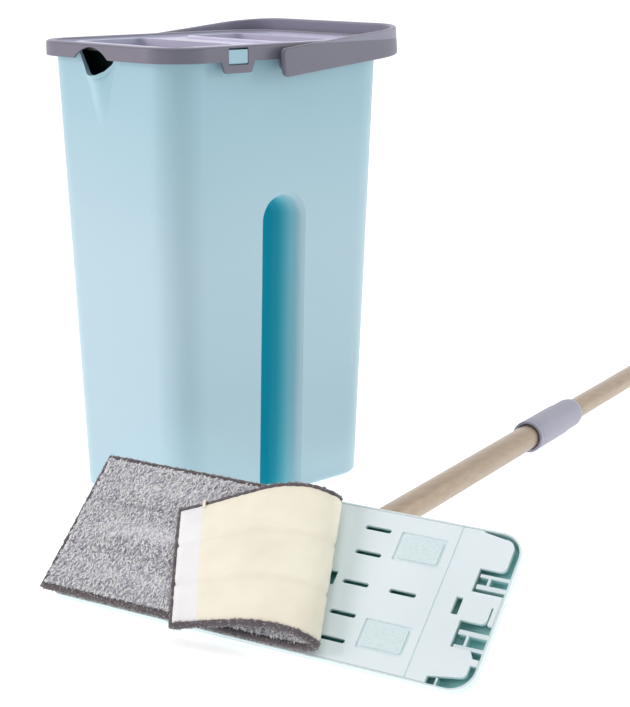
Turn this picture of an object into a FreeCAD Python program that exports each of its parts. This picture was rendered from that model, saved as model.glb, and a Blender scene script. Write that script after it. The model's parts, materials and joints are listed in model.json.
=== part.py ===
"""Flat mop and self-wringing bucket.

Row frame: origin at the centre of the bucket's base, on the floor. +Z is up, +X runs along the
bucket's long side, away from the pouring lip, and -Y is the fluted front face. Millimetres.
The mop lies upside down on the floor in front of the bucket, with its pole out to +X.
"""
import FreeCAD, Part
import math
import os
from FreeCAD import Matrix, Placement, Vector

# ---------------------------------------------------------------- driving dimensions: bucket
BUCKET_HEIGHT = 380.0          # floor to the top of the rim
RIM_HALF = (124.3, 93.0)       # outer half sizes of the rim, along X and Y
RIM_CORNER = 36.5
RIM_SKIRT = 12.2               # how far the rim's outer wall comes down
RIM_LAND = 8.0                 # width of the rounded top of the rim
RIM_WALL = 2.2
RIM_ROUND = 2.6                # rounding of both edges of the rim's top
DECK_TOP = 376.4               # the sunk deck inside the rim
DECK_THICKNESS = 2.2
TUB_TOP_HALF = (116.2, 84.7)   # tub's outer half sizes under the rim
TUB_FOOT_HALF = (104.5, 74.0)  # tub's outer half sizes at the floor
TUB_TOP_CORNER = 29.5
TUB_FOOT_CORNER = 28.0
TUB_WALL = 2.2
TUB_FLOOR = 2.6
TUB_FOOT_FILLET = 4.0
TUB_TOP = DECK_TOP - DECK_THICKNESS - 0.2
FLANGE_THICKNESS = 1.8
FLUTE_HALF_MOUTH = 20.5        # upright flute in the front and back faces, where its walls meet the face
FLUTE_HALF_FLOOR = 12.5        # and where they meet the flute's floor
FLUTE_DEPTH = 27.0
FLUTE_SPRING = 237.0           # height at which its round head begins
FLUTE_MOUTH_RADIUS = 7.0       # rounding of its mouth and of its floor
FLUTE_FLOOR_RADIUS = 7.0
FLUTE_START = 8.0              # how far outside the face, and below the floor, its cutter begins

SPOUT_Y = 7.3                  # pouring lip on the -X end, a little off its middle
SPOUT_HALF_WIDTH = 30.0        # half width of its swelling at the top
SPOUT_REACH = 13.0
SPOUT_FOOT = 312.0
SPOUT_SINK = 0.4               # how far the swelling's edges are buried in the wall
SPOUT_MOUTH = ((25.0, 17.0), (19.5, 9.5), (12.5, 3.8), (6.0, 0.9), (0.0, 0.0))   # half widths and rises
SPOUT_LOW_POINT = 354.8
SPOUT_BEAD = 3.4               # height of the bead along the lip
SPOUT_BEAD_OUT = 2.2
SPOUT_ARCH_TOP = 377.0
SPOUT_ARCH_HALF = 23.5

SNAP_X = 56.5                  # snap lugs, two on each long side
SNAP_HALF_TOP = 17.0
SNAP_HALF_FOOT = 13.5
SNAP_FOOT = {1: 361.4, -1: 359.0}   # the lugs behind the handle's arms are shorter
SNAP_CORNER = 3.0
SNAP_WINDOW_HALF = 9.8
SNAP_WINDOW = (365.2, 378.2)
SNAP_TAB_HALF = 9.4
SNAP_TAB_TOP = 376.8

BAIL_PIVOT = (-5.0, 366.2)     # X and Z of the carrying handle's pivot
BAIL_ARM_OUT = 103.0           # half width over the arms
BAIL_REACH = 136.2             # pivot to the far side of the handle
BAIL_CORNER = 41.0
BAIL_THICKNESS = 5.0
BAIL_HEIGHT = 22.6
BAIL_REST_DEG = 5.3            # the far end rests this much above level
BAIL_TAIL = 13.0               # the arms end this far behind the pivot
BAIL_TAIL_CORNER = 4.5
STOP_RUNS = {1: 31.0, -1: 22.5}   # stops on the arms, from the pivot, for resting to +X and to -X
STOP_HALF = 3.0
STOP_RISE = 3.4
STUD_RADIUS = 4.6
STUD_HEAD = 5.7
STUD_CLEARANCE = 0.06
PIVOT_EAR_RADIUS = 9.0
HANDLE_COLLAR_RADIUS = 7.0

PORT_HALF_Y = 64.0
WASH_PORT = (-98.0, -30.0)     # X limits of the washing port
DRY_PORT = (18.0, 78.0)        # X limits of the wringing port
PORT_CORNER = 10.0
PORT_CLEARANCE = 0.3
CHUTE_WALL = 2.0
CHUTE_FLANGE = 4.0
WASH_CHUTE_FOOT = 330.0
WRINGER_FOOT = 312.0
ROLLER_RADIUS = 7.0
ROLLER_HALF = 58.0
ROLLER_Z = 350.0
AXLE_RADIUS = 2.0
SCRAPER_Z = 345.0
SCRAPER_HALF = 54.0
COMB_TEETH = 15

# ---------------------------------------------------------------- driving dimensions: mop
HEAD_CENTRE = (-190.1, -280.7, 45.2)   # middle of the head's pad side
HEADING_DEG = 16.5             # the pole's direction over the floor, from +X
HEAD_TILT_DEG = 41.2           # the pad side's tilt from level
POLE_SLOPE_DEG = -0.71         # the pole's far end lies on the floor
HEAD_HALF = (168.4, 57.6)      # along the head and across it
HEAD_CORNER = 17.0
SHELL_BACK = -10.0             # the shell's back, measured from the pad side
SHELL_WALL = 2.2
SHELL_RIM = 1.4
SHELL_EDGE = -5.5              # the shell's side is upright down to here, then slopes in to its back
SHELL_TAPER = 3.6
BACK_RIM = -13.0               # stiffening rim round the shell's back
BACK_RIM_WIDTH = 2.4
PANEL_GAP = 0.3
PANEL_THICKNESS = 3.0
JOINT_HEIGHT = 22.8            # tilt pin behind the pad side
BOSS_RADIUS = 22.0
BOSS_BACK = -12.5
TURRET_RADIUS = 20.0
TURRET_FACE = -15.5
TURRET_SHAFT = 8.0
EAR_INNER = 10.6
EAR_OUTER = 15.0
EAR_RADIUS = 7.5
LUG_RADIUS = 6.2
PIN_RADIUS = 2.5
RUNNING = 0.06                 # radial clearance of the hinge pins and shafts
PRESSED = 0.02                 # radial clearance where a pin stays put
RIVET_RADIUS = 1.6

SLOT_LENGTH = 19.6
SLOT_WIDTH = 3.2
SLOT_ROWS = (42.0, 23.0, 0.0, -23.0, -42.0)
SLOT_U = 64.4
MID_SLOT_U = 99.5
PATCH_U = 99.5
PATCH_V = 33.0
PATCH_SIZE = (29.0, 17.0)
RECESS_SIZE = (35.0, 22.0)
RECESS_DEPTH = 1.2
CATCH_HOLE = (136.4, 141.2)
CREASE = (122.6, 123.6)
CENTRE_HOLE = (39.0, 49.0)
PANEL_END = 162.2              # the panel stops here at its ends, short of the shell's rim
WINDOW_START = 144.6           # the two openings at each end of the panel start here
WINDOW_BACK = (11.7, 29.0)
WINDOW_FRONT = (-28.5, -9.3)
BRIDGE = (-38.0, -33.6)        # between the front corner's slot and the front opening
HOOK_TOP = 3.3                 # end of the narrow slot behind the middle tongue
HOOK_WIDTH = 1.2
TONGUE_CORNER = 4.0

TUBE_RADIUS = 11.0             # lower tube of the pole
TUBE_WALL = 0.8
TUBE_START = 34.0
TUBE_END = 440.0
SPIGOT_LENGTH = 30.0
INNER_RADIUS = 9.7             # upper tube of the pole
INNER_WALL = 0.8
INNER_START = 372.0
INNER_END = 1190.0
COLLAR = (418.0, 423.0, 489.0, 520.0)   # mouth, its ring, end of the sleeve, end of the nut
COLLAR_RADIUS = 14.4
COLLAR_SEAT = 434.0            # the collar runs close on the lower tube up to here
SCALLOP = 9.0                  # radius of the waves in the sleeve's end
NUT_RADIUS = 13.5
GRIP = (1085.0, 1215.0)
GRIP_RADIUS = 13.0
CAP_END = 1252.0
EYE_RADIUS = 4.0
EYE_CENTRE = 1240.0
EYE_THICKNESS = 6.0

PAD_HALF_WIDTH = 56.0
PAD_BASE = 0.4                 # the pad lies this far off the panel
PAD_TOP = 7.6
PAD_END = -168.0
FOLD_FRONT = 52.0              # where the fold crosses the pad's front and back edges
FOLD_BACK = 24.0
FLAP_FRONT = (-44.0, -66.0)    # corners of the peeled-back end, along and across the head
FLAP_BACK = (-81.0, 20.0)
FLAP_BEND = (-18.0, 50.0)
FLAP_THICKNESS = 7.0
FLAP_RISE_DEG = 2.2            # the flap lies on the pad at its free end and rises to the fold


# ---------------------------------------------------------------- small helpers
def polar(centre, radius, degrees):
    """Point at an angle on a level circle."""
    angle = math.radians(degrees)
    return centre + Vector(radius * math.cos(angle), radius * math.sin(angle), 0)


def rounded_wire(half, corner, z, centre=(0.0, 0.0)):
    """Closed rounded rectangle in a level plane."""
    arcs = []
    for sx, sy, start in ((1, 1, 0), (-1, 1, 90), (-1, -1, 180), (1, -1, 270)):
        hub = Vector(centre[0] + sx * (half[0] - corner), centre[1] + sy * (half[1] - corner), z)
        arcs.append([polar(hub, corner, start + turn) for turn in (0, 45, 90)])
    edges = []
    for i, (first, middle, last) in enumerate(arcs):
        edges.append(Part.Arc(first, middle, last).toShape())
        edges.append(Part.makeLine(last, arcs[(i + 1) % 4][0]))
    return Part.Wire(edges)


def rounded_prism(half, corner, low, high, centre=(0.0, 0.0)):
    """Upright prism over a rounded rectangle."""
    face = Part.Face(rounded_wire(half, corner, low, centre))
    return face.extrude(Vector(0, 0, high - low))


def box(low, high):
    """Box from its lowest corner to its highest."""
    size = [b - a for a, b in zip(low, high)]
    return Part.makeBox(size[0], size[1], size[2], Vector(*low))


def rod(radius, start, end):
    """Cylinder between two points."""
    start, end = Vector(*start), Vector(*end)
    return Part.makeCylinder(radius, (end - start).Length, start, end - start)


def polygon_prism(points, direction):
    """Prism over a closed polygon."""
    ring = [Vector(*point) for point in points]
    return Part.Face(Part.makePolygon(ring + ring[:1])).extrude(Vector(*direction))


def mirrored(shape, normal):
    """The shape and its mirror image through the origin."""
    return [shape, shape.mirror(Vector(0, 0, 0), Vector(*normal))]


def revolved(profile):
    """Solid turned about the Z axis from (radius, z) points."""
    ring = [Vector(r, 0, z) for r, z in profile]
    face = Part.Face(Part.makePolygon(ring + ring[:1]))
    return face.revolve(Vector(0, 0, 0), Vector(0, 0, 1), 360)


def edges_where(shape, test):
    """Edges whose middle point passes a test."""
    return [edge for edge in shape.Edges if test(edge.CenterOfMass)]


def frame_placement(x_axis, y_axis, z_axis, origin):
    """Placement from three unit axes and an origin."""
    rows = [[x_axis[i], y_axis[i], z_axis[i], origin[i]] for i in range(3)]
    return Placement(Matrix(*rows[0], *rows[1], *rows[2], 0, 0, 0, 1))


# ---------------------------------------------------------------- bucket
def tub_block(inset, low):
    """The tub's tapered outline, moved in by a wall's thickness, from a height to the top."""
    wires = []
    for half, corner, z in ((TUB_FOOT_HALF, TUB_FOOT_CORNER, 0.0), (TUB_TOP_HALF, TUB_TOP_CORNER, TUB_TOP)):
        wires.append(rounded_wire((half[0] - inset, half[1] - inset), corner - inset, z))
    block = Part.makeLoft(wires, True, True)
    if low > 0:
        block = block.cut(box((-200, -200, -1), (200, 200, low)))
    return block


def flute_door(half_width, y):
    """Door-shaped outline of the flute in an upright plane: straight sides and a round head."""
    foot = -FLUTE_START
    left, right = Vector(-half_width, y, foot), Vector(half_width, y, foot)
    left_top, right_top = Vector(-half_width, y, FLUTE_SPRING), Vector(half_width, y, FLUTE_SPRING)
    edges = [Part.makeLine(left_top, left), Part.makeLine(left, right), Part.makeLine(right, right_top)]
    crown = Vector(0, y, FLUTE_SPRING + half_width)
    edges.append(Part.Arc(right_top, crown, left_top).toShape())
    return Part.Wire(edges)


def flute_profile(grow):
    """Half widths and depths along the flute's rounded section, moved out by a wall's thickness."""
    lean = math.atan2(FLUTE_HALF_MOUTH - FLUTE_HALF_FLOOR, FLUTE_DEPTH)
    turn = math.pi / 2 - lean
    tangent = FLUTE_MOUTH_RADIUS * math.tan(turn / 2)
    mouth = (FLUTE_HALF_MOUTH + tangent, FLUTE_MOUTH_RADIUS)
    tangent = FLUTE_FLOOR_RADIUS * math.tan(turn / 2)
    floor = (FLUTE_HALF_FLOOR - tangent, FLUTE_DEPTH - FLUTE_FLOOR_RADIUS)
    points = [(mouth[0], -FLUTE_START)]
    for step in range(1, 6):
        angle = turn * step / 5
        radius = FLUTE_MOUTH_RADIUS - grow
        points.append((mouth[0] - radius * math.sin(angle), mouth[1] - radius * math.cos(angle)))
    for step in range(5):
        angle = turn * (1 - step / 5)
        radius = FLUTE_FLOOR_RADIUS + grow
        points.append((floor[0] + radius * math.sin(angle), floor[1] + radius * math.cos(angle)))
    return points


def flute(grow):
    """Cutter for the front flute, grown by a wall's thickness for the inside of the tub."""
    profile = flute_profile(grow)
    start, rest = profile[:2], profile[1:]
    draft = math.degrees(math.atan2(TUB_TOP_HALF[1] - TUB_FOOT_HALF[1], TUB_TOP))
    face_y = -TUB_TOP_HALF[1]
    pieces = []
    for points, ruled in ((start, True), (rest, False)):
        doors = [flute_door(half_width, face_y + depth) for half_width, depth in points]
        pieces.append(Part.makeLoft(doors, True, ruled))
    tool = pieces[0].fuse(pieces[1])
    tool.rotate(Vector(0, face_y, TUB_TOP), Vector(1, 0, 0), draft)
    return tool


def spout_section(z, scale, inset, grow):
    """Level section of the swelling under the pouring lip: a soft bump on the -X wall."""
    lean = (TUB_TOP - z) / TUB_TOP * (TUB_TOP_HALF[0] - TUB_FOOT_HALF[0])
    wall_x = -TUB_TOP_HALF[0] + lean + inset
    half = SPOUT_HALF_WIDTH * (0.35 + 0.65 * scale) - inset
    points = []
    for step in range(-6, 7):
        y = half * step / 6
        rise = (1 + math.cos(math.pi * step / 6)) / 2
        points.append(Vector(wall_x + SPOUT_SINK - (SPOUT_REACH * scale + grow) * rise, SPOUT_Y + y, z))
    bump = Part.BSplineCurve()
    bump.interpolate(points)
    back = [points[-1], points[-1] + Vector(6, 0, 0), points[0] + Vector(6, 0, 0), points[0]]
    lines = [Part.makeLine(a, b) for a, b in zip(back, back[1:])]
    return Part.Wire([bump.toShape()] + lines)


def spout_swell(inset, grow):
    """Swelling that grows out of the -X wall up to the pouring lip."""
    wires = []
    for step in range(5):
        part = step / 4
        z = SPOUT_FOOT + (TUB_TOP - SPOUT_FOOT) * part
        wires.append(spout_section(z, part ** 1.6 + 0.03, inset, grow))
    return Part.makeLoft(wires, True, False)


def spout_mouth(drop):
    """Rounded V cut that lowers the pouring lip in the middle."""
    x = -140.0
    low = SPOUT_LOW_POINT - drop
    left = [(x, SPOUT_Y - half, low + rise) for half, rise in SPOUT_MOUTH]
    right = [(x, SPOUT_Y + half, low + rise) for half, rise in SPOUT_MOUTH[-2::-1]]
    high = BUCKET_HEIGHT + 10
    half = SPOUT_MOUTH[0][0]
    points = left + right + [(x, SPOUT_Y + half, high), (x, SPOUT_Y - half, high)]
    return polygon_prism(points, (-x - 108.5, 0, 0))


def spout_bead():
    """Bead along the pouring lip's edge."""
    band = spout_mouth(SPOUT_BEAD).cut(spout_mouth(0.0))
    ceiling = box((-150, -60, TUB_TOP), (-100, 60, 400))
    return spout_swell(0.0, SPOUT_BEAD_OUT).common(band).cut(ceiling)


def snap_tabs():
    """Four wedges on the tub that catch in the rim's windows."""
    x = SNAP_X - SNAP_TAB_HALF
    inner = TUB_TOP_HALF[1] - 1.0
    outer = RIM_HALF[1] - 0.4
    shoulder = RIM_HALF[1] - RIM_LAND + RIM_WALL + 0.6
    low = SNAP_WINDOW[0] + 1.2
    wedge = polygon_prism([(x, -inner, low - 6), (x, -outer, low), (x, -outer, SNAP_TAB_TOP),
                           (x, -shoulder, SNAP_TAB_TOP), (x, -shoulder, TUB_TOP), (x, -inner, TUB_TOP)],
                          (2 * SNAP_TAB_HALF, 0, 0))
    front = mirrored(wedge, (1, 0, 0))
    return front + [tab.mirror(Vector(0, 0, 0), Vector(0, 1, 0)) for tab in front]


def bucket_tub():
    """The thin-walled tub with its flutes, pouring lip, top flange and snap tabs."""
    outer = tub_block(0.0, 0.0)
    foot = edges_where(outer, lambda p: p.z < 0.01)
    outer = outer.makeFillet(TUB_FOOT_FILLET, foot)
    for cutter in mirrored(flute(0.0), (0, 1, 0)):
        outer = outer.cut(cutter)
    outer = outer.fuse(spout_swell(0.0, 0.0))
    inner = tub_block(TUB_WALL, TUB_FLOOR)
    for cutter in mirrored(flute(TUB_WALL), (0, 1, 0)):
        inner = inner.cut(cutter)
    inner = inner.fuse(spout_swell(TUB_WALL, 0.0))
    flange_half = [half - RIM_WALL - 0.5 for half in RIM_HALF]
    flange = rounded_prism(flange_half, RIM_CORNER - RIM_WALL - 0.5, TUB_TOP - FLANGE_THICKNESS, TUB_TOP)
    brim = inner.common(box((-200, -200, TUB_TOP - 3), (200, 200, TUB_TOP))).translated(Vector(0, 0, 2.9))
    tub = outer.fuse([flange] + snap_tabs()).cut([inner, brim, spout_mouth(0.0)])
    return tub.fuse(spout_bead().cut([inner, brim])).removeSplitter()


def top_frame():
    """The rim, its sunk deck with two ports, the snap windows, the pivot ears and the handle rests."""
    top, skirt_foot = BUCKET_HEIGHT, BUCKET_HEIGHT - RIM_SKIRT
    deck_foot = DECK_TOP - DECK_THICKNESS

    def ring(inset, low, high):
        half = [size - inset for size in RIM_HALF]
        return rounded_prism(half, RIM_CORNER - inset, low, high)

    body = ring(0.0, skirt_foot, top)
    body = body.makeFillet(RIM_ROUND, edges_where(body, lambda p: p.z > top - 0.01))
    body = body.cut(ring(RIM_WALL, skirt_foot - 1, deck_foot))
    well = ring(RIM_LAND, DECK_TOP, top + 5)
    body = body.cut(well)
    land = [size - RIM_LAND + 0.5 for size in RIM_HALF]
    lip = edges_where(body, lambda p: p.z > top - 0.01 and abs(p.x) < land[0] and abs(p.y) < land[1])
    body = body.makeFillet(RIM_ROUND, lip)
    channel = ring(RIM_WALL, deck_foot - 1, top - RIM_WALL)
    body = body.cut(channel.cut(ring(RIM_LAND - RIM_WALL, deck_foot - 2, top + 5)))
    extras = []
    for side in (1, -1):
        extras += [snap_lug(end, side) for end in (1, -1)]
        extras += [handle_rest(way, side) for way in rest_ways(side)]
        extras.append(pivot_ear(side))
    body = body.fuse(extras)
    for port in (WASH_PORT, DRY_PORT):
        body = body.cut(port_prism(port, 0.0, deck_foot - 2, DECK_TOP + 2))
    body = body.cut(snap_windows())
    bore = STUD_RADIUS + STUD_CLEARANCE
    body = body.cut(rod(bore, (BAIL_PIVOT[0], -150, BAIL_PIVOT[1]), (BAIL_PIVOT[0], 150, BAIL_PIVOT[1])))
    return body.cut(spout_arch()).removeSplitter()


def snap_lug(end, side):
    """Tongue that hangs from the rim's skirt over a snap tab."""
    x = end * SNAP_X
    y_out = side * RIM_HALF[1]
    top = BUCKET_HEIGHT - RIM_SKIRT + 1
    foot = SNAP_FOOT[end]
    points = [(x - SNAP_HALF_TOP, y_out, top), (x - SNAP_HALF_FOOT, y_out, foot),
              (x + SNAP_HALF_FOOT, y_out, foot), (x + SNAP_HALF_TOP, y_out, top)]
    lug = polygon_prism(points, (0, -side * RIM_WALL, 0))
    corners = edges_where(lug, lambda p: p.z < foot + 0.01 and abs(abs(p.x - x) - SNAP_HALF_FOOT) < 0.01)
    return lug.makeFillet(SNAP_CORNER, corners)


def snap_windows():
    """Cutters for the four windows in the lugs."""
    low, high = SNAP_WINDOW
    cutters = []
    for side in (1, -1):
        for end in (1, -1):
            y_out = side * RIM_HALF[1]
            x = end * SNAP_X
            y_low, y_high = sorted((y_out + side, y_out - side * (RIM_WALL + 0.3)))
            cutters.append(box((x - SNAP_WINDOW_HALF, y_low, low), (x + SNAP_WINDOW_HALF, y_high, high)))
    return cutters


def pivot_ear(side):
    """Round ear under the rim that carries one end of the handle."""
    x, z = BAIL_PIVOT
    y_out, y_in = side * RIM_HALF[1], side * (RIM_HALF[1] - RIM_WALL)
    r = PIVOT_EAR_RADIUS
    ear = rod(r, (x, y_out, z), (x, y_in, z))
    y_low, y_high = sorted((y_out, y_in))
    return ear.fuse(box((x - r, y_low, z), (x + r, y_high, BUCKET_HEIGHT - RIM_SKIRT + 1)))


def rest_ways(side):
    """Ways that the handle comes to rest on one side: only the back stops it when it is turned over."""
    return (1, -1) if side > 0 else (1,)


def handle_rest(way, side):
    """Nib on the skirt, behind the handle's arm, that the arm's stop lands on."""
    run = STOP_RUNS[way]
    x = BAIL_PIVOT[0] + way * run
    y_low, y_high = sorted((side * (RIM_HALF[1] - RIM_WALL), side * (BAIL_ARM_OUT - BAIL_THICKNESS - 0.6)))
    top = BAIL_PIVOT[1] + (run - STOP_HALF) * math.tan(math.radians(BAIL_REST_DEG)) + STOP_RISE - 0.25
    return box((x - STOP_HALF, y_low, top - 2.6), (x + STOP_HALF, y_high, top))


def spout_arch():
    """Arched cut in the rim's skirt over the pouring lip."""
    low = BUCKET_HEIGHT - RIM_SKIRT - 1
    half, top = SPOUT_ARCH_HALF, SPOUT_ARCH_TOP
    x = -RIM_HALF[0] - 1
    side_a, side_b = Vector(x, SPOUT_Y - half, low), Vector(x, SPOUT_Y + half, low)
    edges = [Part.Arc(side_a, Vector(x, SPOUT_Y, top), side_b).toShape(), Part.makeLine(side_b, side_a)]
    return Part.Face(Part.Wire(edges)).extrude(Vector(1 + RIM_WALL + 0.2, 0, 0))


def port_prism(port, inset, low, high):
    """Rounded prism over one of the two ports."""
    half = ((port[1] - port[0]) / 2 - inset, PORT_HALF_Y - inset)
    return rounded_prism(half, PORT_CORNER - inset, low, high, ((port[0] + port[1]) / 2, 0.0))


def chute(port, foot):
    """Sleeve that drops through a port and rests on the deck by its flange."""
    sleeve = port_prism(port, PORT_CLEARANCE, foot, DECK_TOP)
    flange = port_prism(port, -CHUTE_FLANGE, DECK_TOP, DECK_TOP + 2.0)
    flange = flange.makeFillet(1.2, edges_where(flange, lambda p: p.z > DECK_TOP + 1.99))
    return sleeve.fuse(flange).cut(port_prism(port, PORT_CLEARANCE + CHUTE_WALL, foot - 1, DECK_TOP + 5))


def wash_chute():
    """Sleeve of the washing port."""
    return chute(WASH_PORT, WASH_CHUTE_FOOT).removeSplitter()


def wash_comb():
    """Soft comb on the washing sleeve's wall that opens the pad's pile."""
    x = WASH_PORT[0] + PORT_CLEARANCE + CHUTE_WALL
    strip = box((x, -50, 338), (x + 2.4, 50, 362))
    teeth = []
    for row, z in enumerate((343.5, 350.0, 356.5)):
        count = COMB_TEETH - row % 2
        for i in range(count):
            y = (i - (count - 1) / 2) * 6.4
            cone = Part.makeCone(2.0, 0.8, 7.0, Vector(x + 2.0, y, z), Vector(1, 0, 0))
            teeth.append(cone)
    return strip.fuse(teeth).removeSplitter()


def wringer_housing():
    """Sleeve of the wringing port, with the roller's cheeks and the scraper's shelf."""
    body = chute(DRY_PORT, WRINGER_FOOT)
    inner = PORT_HALF_Y - PORT_CLEARANCE - CHUTE_WALL
    x = roller_x()
    for side in (1, -1):
        ends = [(x, side * y, ROLLER_Z) for y in (inner + 0.5, ROLLER_HALF + 0.6)]
        body = body.fuse(rod(4.5, *ends))
    shelf_x = DRY_PORT[1] - PORT_CLEARANCE - CHUTE_WALL
    half = SCRAPER_HALF
    for z in (SCRAPER_Z - 7.5, SCRAPER_Z + 5.5):
        body = body.fuse(box((shelf_x - 2.4, -half, z), (shelf_x + 0.5, half, z + 2.0)))
    reach = inner + 1.0
    axle_bore = rod(AXLE_RADIUS, (x, -reach, ROLLER_Z), (x, reach, ROLLER_Z))
    return body.cut(axle_bore).removeSplitter()


def roller_x():
    """X of the guide roller's axle."""
    return DRY_PORT[0] + PORT_CLEARANCE + CHUTE_WALL + ROLLER_RADIUS + 0.6


def guide_roller():
    """Ribbed roller that the head's back runs down on."""
    turned = [(AXLE_RADIUS + RUNNING, -ROLLER_HALF), (ROLLER_RADIUS - 1.2, -ROLLER_HALF)]
    rings = 7
    pitch = 2 * ROLLER_HALF / rings
    for i in range(rings):
        start = -ROLLER_HALF + i * pitch
        turned.append((ROLLER_RADIUS, start + 1.2))
        turned.append((ROLLER_RADIUS, start + pitch - 1.2))
        turned.append((ROLLER_RADIUS - 1.2, start + pitch))
    turned.append((AXLE_RADIUS + RUNNING, ROLLER_HALF))
    roller = revolved(turned)
    roller.rotate(Vector(0, 0, 0), Vector(1, 0, 0), 90)
    roller.translate(Vector(roller_x(), 0, ROLLER_Z))
    return roller


def roller_axle():
    """Steel axle of the guide roller."""
    reach = PORT_HALF_Y - PORT_CLEARANCE - CHUTE_WALL + 1.0
    return rod(AXLE_RADIUS, (roller_x(), -reach, ROLLER_Z), (roller_x(), reach, ROLLER_Z))


def scraper_lip():
    """Rubber lip that squeezes the pad as the head is drawn up."""
    wall = DRY_PORT[1] - PORT_CLEARANCE - CHUTE_WALL
    section = [(wall, -5.5), (wall, 5.5), (wall - 2.4, 5.5), (wall - 5.6, 0.8), (wall - 5.6, -0.8),
               (wall - 2.4, -5.5)]
    points = [(x, -SCRAPER_HALF, SCRAPER_Z + z) for x, z in section]
    return polygon_prism(points, (0, 2 * SCRAPER_HALF, 0))


def bail_outline(inset):
    """Level U outline of the carrying handle about its pivot, closed across the open end."""
    width, reach, corner = BAIL_ARM_OUT - inset, BAIL_REACH - inset, BAIL_CORNER - inset
    hubs = [Vector(reach - corner, side * (width - corner), 0) for side in (1, -1)]
    back = -BAIL_TAIL
    start, end = Vector(back, width, 0), Vector(back, -width, 0)
    bend_a = [polar(hubs[0], corner, turn) for turn in (90, 45, 0)]
    bend_b = [polar(hubs[1], corner, turn) for turn in (0, -45, -90)]
    edges = [Part.makeLine(start, bend_a[0]), Part.Arc(*bend_a).toShape()]
    edges += [Part.makeLine(bend_a[2], bend_b[0]), Part.Arc(*bend_b).toShape()]
    edges += [Part.makeLine(bend_b[2], end), Part.makeLine(end, start)]
    return Part.Face(Part.Wire(edges))


def arm_stops(side):
    """Stops on the inside of one arm, one for each way that it comes to rest."""
    y_low, y_high = sorted((side * (BAIL_ARM_OUT - BAIL_THICKNESS + 1), side * (RIM_HALF[1] + 1.0)))
    stops = []
    for way in rest_ways(side):
        run = STOP_RUNS[way]
        z_low, z_high = sorted((way * STOP_RISE, way * (STOP_RISE + 4.0)))
        stops.append(box((run - STOP_HALF, y_low, z_low), (run + STOP_HALF, y_high, z_high)))
    return stops


def bail_handle():
    """Flat U-shaped carrying handle with a moulded stud at each end."""
    half = BAIL_HEIGHT / 2
    up = Vector(0, 0, BAIL_HEIGHT)
    strip = bail_outline(0.0).extrude(up).cut(bail_outline(BAIL_THICKNESS).extrude(up))
    strip.translate(Vector(0, 0, -half))
    tail = edges_where(strip, lambda p: abs(abs(p.z) - half) < 0.01 and abs(p.x + BAIL_TAIL) < 0.01)
    strip = strip.makeFillet(BAIL_TAIL_CORNER, tail)
    long_edges = edges_where(strip, lambda p: abs(abs(p.z) - half) < 0.01)
    strip = strip.makeFillet(1.6, long_edges)
    for side in (1, -1):
        ear_in = RIM_HALF[1] - RIM_WALL
        root = (0, side * (BAIL_ARM_OUT - BAIL_THICKNESS + 1), 0)
        stud = rod(STUD_RADIUS, root, (0, side * (ear_in - 0.25), 0))
        collar = rod(HANDLE_COLLAR_RADIUS, root, (0, side * (RIM_HALF[1] + 0.4), 0))
        head = rod(STUD_HEAD, (0, side * (ear_in - 0.25), 0), (0, side * (ear_in - 1.9), 0))
        strip = strip.fuse([stud, collar, head] + arm_stops(side))
    strip = strip.removeSplitter()
    strip.rotate(Vector(0, 0, 0), Vector(0, 1, 0), -BAIL_REST_DEG)
    strip.translate(Vector(BAIL_PIVOT[0], 0, BAIL_PIVOT[1]))
    return strip


# ---------------------------------------------------------------- mop head, in its own frame
# x runs along the head, y across it and z out of its pad side, with z = 0 on the pad side.
def outline_prism(start, moves, low, high):
    """Prism over a closed level outline of lines, and of arcs through a point, from a start point."""
    here = Vector(*start, low)
    first, edges = here, []
    for move in moves:
        points = [Vector(*point, low) for point in move]
        if len(points) == 2:
            edges.append(Part.Arc(here, points[0], points[1]).toShape())
        else:
            edges.append(Part.makeLine(here, points[0]))
        here = points[-1]
    edges.append(Part.makeLine(here, first))
    return Part.Face(Part.Wire(edges)).extrude(Vector(0, 0, high - low))


def end_openings():
    """Cutters for the +x end of the panel: two openings, two corner slots and the hook's slot."""
    far, side = HEAD_HALF[0] + 3, HEAD_HALF[1] + 4
    low, high = -12, 2
    back_low, back_high = WINDOW_BACK
    front_low, front_high = WINDOW_FRONT
    r = TONGUE_CORNER
    bend = r * (1 - math.sqrt(0.5))
    back_corner = outline_prism(
        (138.0, 55.0),
        [[(154.0, 52.4)], [(160.0, 50.4), (PANEL_END, 45.8)], [(PANEL_END, back_high + r)],
         [(PANEL_END - bend, back_high + bend), (PANEL_END - r, back_high)], [(PANEL_END - r, back_low)],
         [(far, back_low)], [(far, side)], [(138.0, side)]], low, high)
    back_window = box((WINDOW_START, back_low, low), (PANEL_END - r + 0.1, back_high, high))
    front_corner = outline_prism(
        (137.4, -51.0),
        [[(158.5, -47.3)], [(161.3, -45.9), (PANEL_END, -42.8)], [(PANEL_END, BRIDGE[0])],
         [(far, BRIDGE[0])], [(far, -side)], [(137.4, -side)]], low, high)
    notch_end = front_low + 0.1
    notch = outline_prism((158.8, notch_end),
                          [[(PANEL_END, BRIDGE[1])], [(far, BRIDGE[1])], [(far, notch_end)]], low, high)
    front_window = outline_prism(
        (WINDOW_START, front_low),
        [[(far, front_low)], [(far, front_high)], [(PANEL_END + HOOK_WIDTH, front_high)],
         [(PANEL_END + HOOK_WIDTH, HOOK_TOP)], [(PANEL_END, HOOK_TOP)], [(PANEL_END, front_high + r)],
         [(PANEL_END - bend, front_high + bend), (PANEL_END - r, front_high)], [(WINDOW_START, front_high)]],
        low, high)
    return [back_corner, back_window, front_corner, notch, front_window]


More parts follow.
